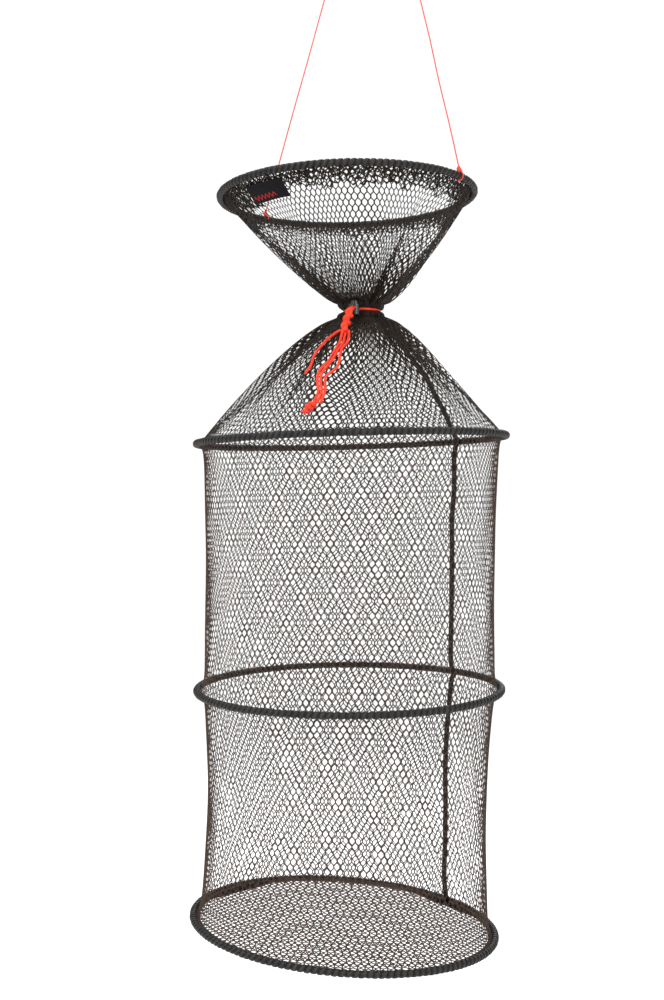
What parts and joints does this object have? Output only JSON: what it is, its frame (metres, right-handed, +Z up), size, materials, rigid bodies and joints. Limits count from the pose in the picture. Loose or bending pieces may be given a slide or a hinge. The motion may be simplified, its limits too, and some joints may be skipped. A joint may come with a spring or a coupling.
{
  "type": "collapsible ring net trap",
  "caption": "Hanging net trap: wire hoops carry a funnel mouth, drawstring neck, tube walls and flat floor of knotless netting; every hoop lifts towards the next to fold flat.",
  "frame": {"origin": "centre of the mouth hoop, where the object hangs from its two lines", "axes": "+Z up along the lines' pull, +X to the right and +Y away from the side with the label and the cord lock"},
  "size_m": [0.3136, 0.3106, 0.9981],
  "materials": {
    "netting": "knotless twine, matt",
    "lashing": "waxed twine lashing, satin",
    "label": "woven label",
    "wire": "galvanised wire",
    "ferrule": "crimped",
    "sleeve": "soft plastic tube",
    "drawstring": "braided cord, slight sheen",
    "line": "thin braided line",
    "cord_lock": "gloss",
    "spring": "spring wire"
  },
  "bodies": {
    "mouth": {"mouth_wire": "wire", "mouth_ferrule": "ferrule", "mouth_sleeve": "sleeve", "mouth_lashing": "lashing", "mouth_hem": "netting", "label": "label", "line_knot_left": "line", "line_knot_right": "line", "line_left": "line", "line_right": "line", "line_loop_left": "line", "line_loop_right": "line"},
    "neck": {"funnel_net": "netting", "neck_gather": "netting", "neck_cord": "drawstring", "cord_lock_body": "cord_lock", "cord_lock_spring": "spring", "drawstring_knot": "drawstring", "tail_left": "drawstring", "tail_middle": "drawstring", "tail_right": "drawstring", "tail_short": "drawstring", "tail_knot": "drawstring"},
    "lock_button": {"cord_lock_button": "cord_lock"},
    "shoulder": {"shoulder_wire": "wire", "shoulder_ferrule": "ferrule", "shoulder_sleeve": "sleeve", "shoulder_lashing": "lashing", "shoulder_net": "netting", "shoulder_seam": "netting"},
    "middle": {"middle_wire": "wire", "middle_ferrule": "ferrule", "middle_sleeve": "sleeve", "middle_lashing": "lashing", "upper_net": "netting", "upper_seam": "netting"},
    "bottom": {"bottom_wire": "wire", "bottom_ferrule": "ferrule", "bottom_sleeve": "sleeve", "bottom_lashing": "lashing", "lower_net": "netting", "lower_seam": "netting", "floor_net": "netting"}
  },
  "joints": [
    {"name": "neck_lift", "type": "slide", "parent": "mouth", "child": "neck", "axis": [0, 0, 1], "range_m": [0, 0.1], "deforming": ["funnel_net"]},
    {"name": "button_press", "type": "slide", "parent": "neck", "child": "lock_button", "axis": [0, 0, -1], "range_m": [0, 0.002], "stiffness_N_per_m": 400, "springref_m": -0.003, "deforming": ["cord_lock_spring"]},
    {"name": "shoulder_lift", "type": "slide", "parent": "neck", "child": "shoulder", "axis": [0, 0, 1], "range_m": [0, 0.112], "deforming": ["shoulder_net", "shoulder_seam", "tail_left", "tail_middle", "tail_right", "tail_short", "tail_knot"]},
    {"name": "middle_lift", "type": "slide", "parent": "shoulder", "child": "middle", "axis": [0, 0, 1], "range_m": [0, 0.229], "deforming": ["upper_net", "upper_seam"]},
    {"name": "bottom_lift", "type": "slide", "parent": "middle", "child": "bottom", "axis": [0, 0, 1], "range_m": [0, 0.208], "deforming": ["lower_net", "lower_seam"]}
  ]
}
